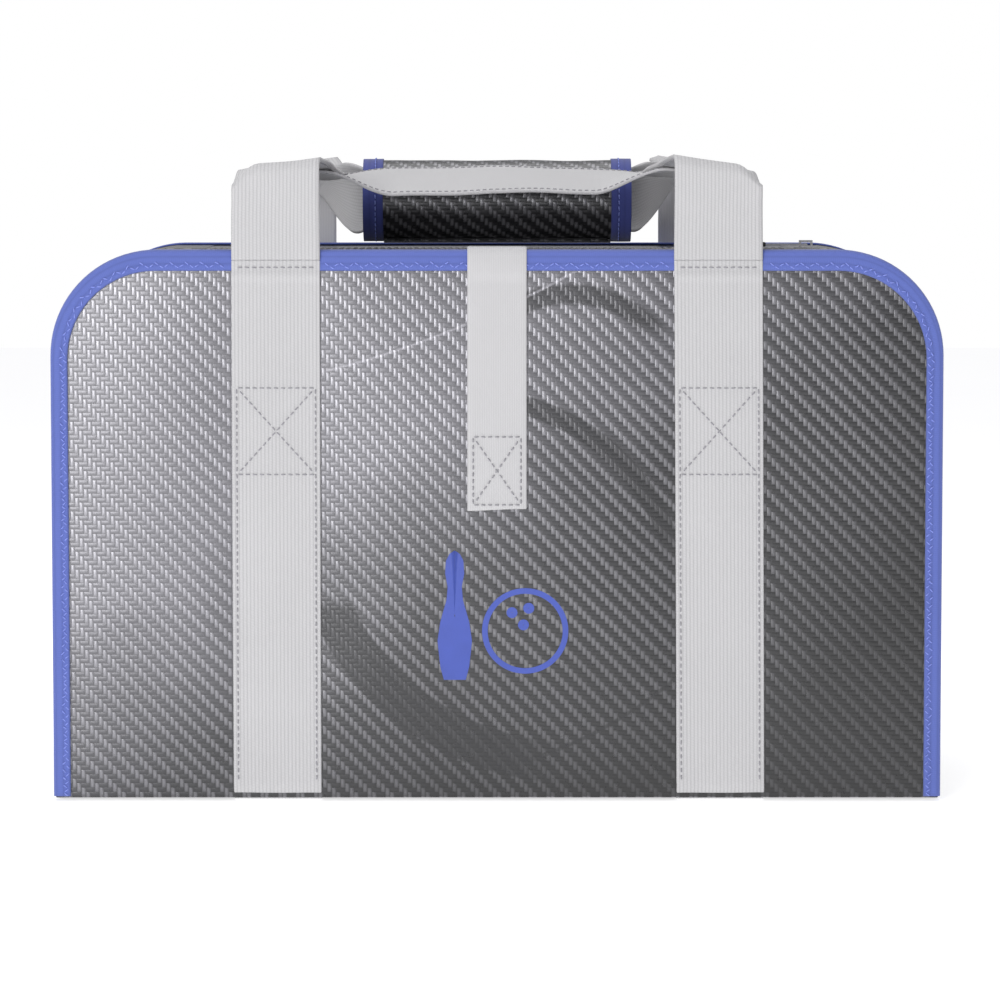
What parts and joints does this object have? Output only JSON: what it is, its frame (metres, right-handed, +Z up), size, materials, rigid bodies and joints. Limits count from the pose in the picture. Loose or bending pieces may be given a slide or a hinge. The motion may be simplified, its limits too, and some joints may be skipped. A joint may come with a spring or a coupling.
{
  "type": "bowling ball bag",
  "caption": "Soft bowling ball tote in black woven-look vinyl with blue bound edges, grey webbing straps and handles, a padded grip wrap and a zipped top",
  "frame": {"origin": "on the floor under the middle of the bag", "axes": "+X along the width to the viewer's right, +Y from the front face to the rear, +Z up"},
  "size_m": [0.506, 0.2458, 0.365],
  "materials": {
    "carbon_vinyl": "glossy black vinyl with a woven carbon look",
    "blue_binding": "royal blue ribbed polypropylene edge tape",
    "grey_webbing": "light grey ribbed webbing",
    "smooth_webbing": "light grey smooth webbing",
    "foam": "closed-cell foam, dark grey",
    "lining": "black woven nylon",
    "board": "stiff black plastic board",
    "zip_tape": "black zip tape",
    "zip_coil": "black nylon coil",
    "zip_metal": "nickel-plated zinc",
    "pull_rubber": "black moulded rubber",
    "touch_tape": "black hook-and-loop tape"
  },
  "bodies": {
    "bag_shell": {"base_board": "board", "base_pad": "lining", "base_vinyl": "carbon_vinyl", "centre_strap": "smooth_webbing", "front_binding": "blue_binding", "front_face_vinyl": "carbon_vinyl", "front_foam_board": "foam", "front_wall_lining": "lining", "left_ball_cup": "foam", "left_body_strap": "grey_webbing", "left_gusset": "carbon_vinyl", "left_zip_end": "zip_tape", "lining_loop_tapes": "touch_tape", "rear_binding": "blue_binding", "rear_face_vinyl": "carbon_vinyl", "rear_foam_board": "foam", "rear_wall_lining": "lining", "right_ball_cup": "foam", "right_body_strap": "grey_webbing", "right_gusset": "carbon_vinyl", "right_zip_end": "zip_tape", "zip_stops": "zip_metal"},
    "front_top_flap": {"front_flap_panel": "carbon_vinyl", "front_zip_tape": "zip_tape", "front_zip_coil": "zip_coil", "centre_strap_top": "smooth_webbing"},
    "rear_top_flap": {"rear_flap_panel": "carbon_vinyl", "rear_zip_tape": "zip_tape", "rear_zip_coil": "zip_coil"},
    "front_handle": {"front_handle_webbing": "grey_webbing", "front_handle_lining": "smooth_webbing"},
    "rear_handle": {"rear_handle_webbing": "grey_webbing", "rear_handle_lining": "smooth_webbing", "grip_fixed_vinyl": "carbon_vinyl", "grip_fixed_foam": "foam", "grip_fixed_binding": "blue_binding", "grip_loop_tape": "touch_tape"},
    "grip_wrap_flap": {"grip_flap_vinyl": "carbon_vinyl", "grip_flap_foam": "foam", "grip_flap_binding": "blue_binding"},
    "slider": {"zip_slider_body": "zip_metal"},
    "slider_pull": {"zip_pull_plate": "zip_metal", "zip_pull_grip": "pull_rubber"},
    "divider": {"ball_divider": "lining", "divider_hook_tapes": "touch_tape"}
  },
  "joints": [
    {"name": "front_flap_hinge", "type": "hinge", "parent": "bag_shell", "child": "front_top_flap", "pos_m": [0, -0.1066, 0.3134], "axis": [1, 0, 0], "range_deg": [0, 100]},
    {"name": "front_handle_fold", "type": "hinge", "parent": "bag_shell", "child": "front_handle", "pos_m": [0, -0.123, 0.308], "axis": [1, 0, 0], "range_deg": [0, 162]},
    {"name": "rear_flap_hinge", "type": "hinge", "parent": "bag_shell", "child": "rear_top_flap", "pos_m": [0, 0.1066, 0.3134], "axis": [-1, 0, 0], "range_deg": [0, 100]},
    {"name": "rear_handle_fold", "type": "hinge", "parent": "bag_shell", "child": "rear_handle", "pos_m": [0, 0.123, 0.308], "axis": [-1, 0, 0], "range_deg": [0, 162]},
    {"name": "grip_wrap_hinge", "type": "hinge", "parent": "rear_handle", "child": "grip_wrap_flap", "pos_m": [0, 0.033, 0.365], "axis": [1, 0, 0], "range_deg": [0, 110]},
    {"name": "slider_run", "type": "slide", "parent": "bag_shell", "child": "slider", "axis": [1, 0, 0], "range_m": [-0.366, 0]},
    {"name": "pull_hinge", "type": "hinge", "parent": "slider", "child": "slider_pull", "pos_m": [0.183, 0, 0.3148], "axis": [0, 1, 0], "range_deg": [0, 170]},
    {"name": "divider_lift", "type": "slide", "parent": "bag_shell", "child": "divider", "axis": [0, 0, 1], "range_m": [0, 0.085]}
  ],
  "couplings": [
    {"joint": "front_handle_fold", "follows": "front_flap_hinge", "ratio": 1.6},
    {"joint": "rear_handle_fold", "follows": "rear_flap_hinge", "ratio": 1.6}
  ]
}
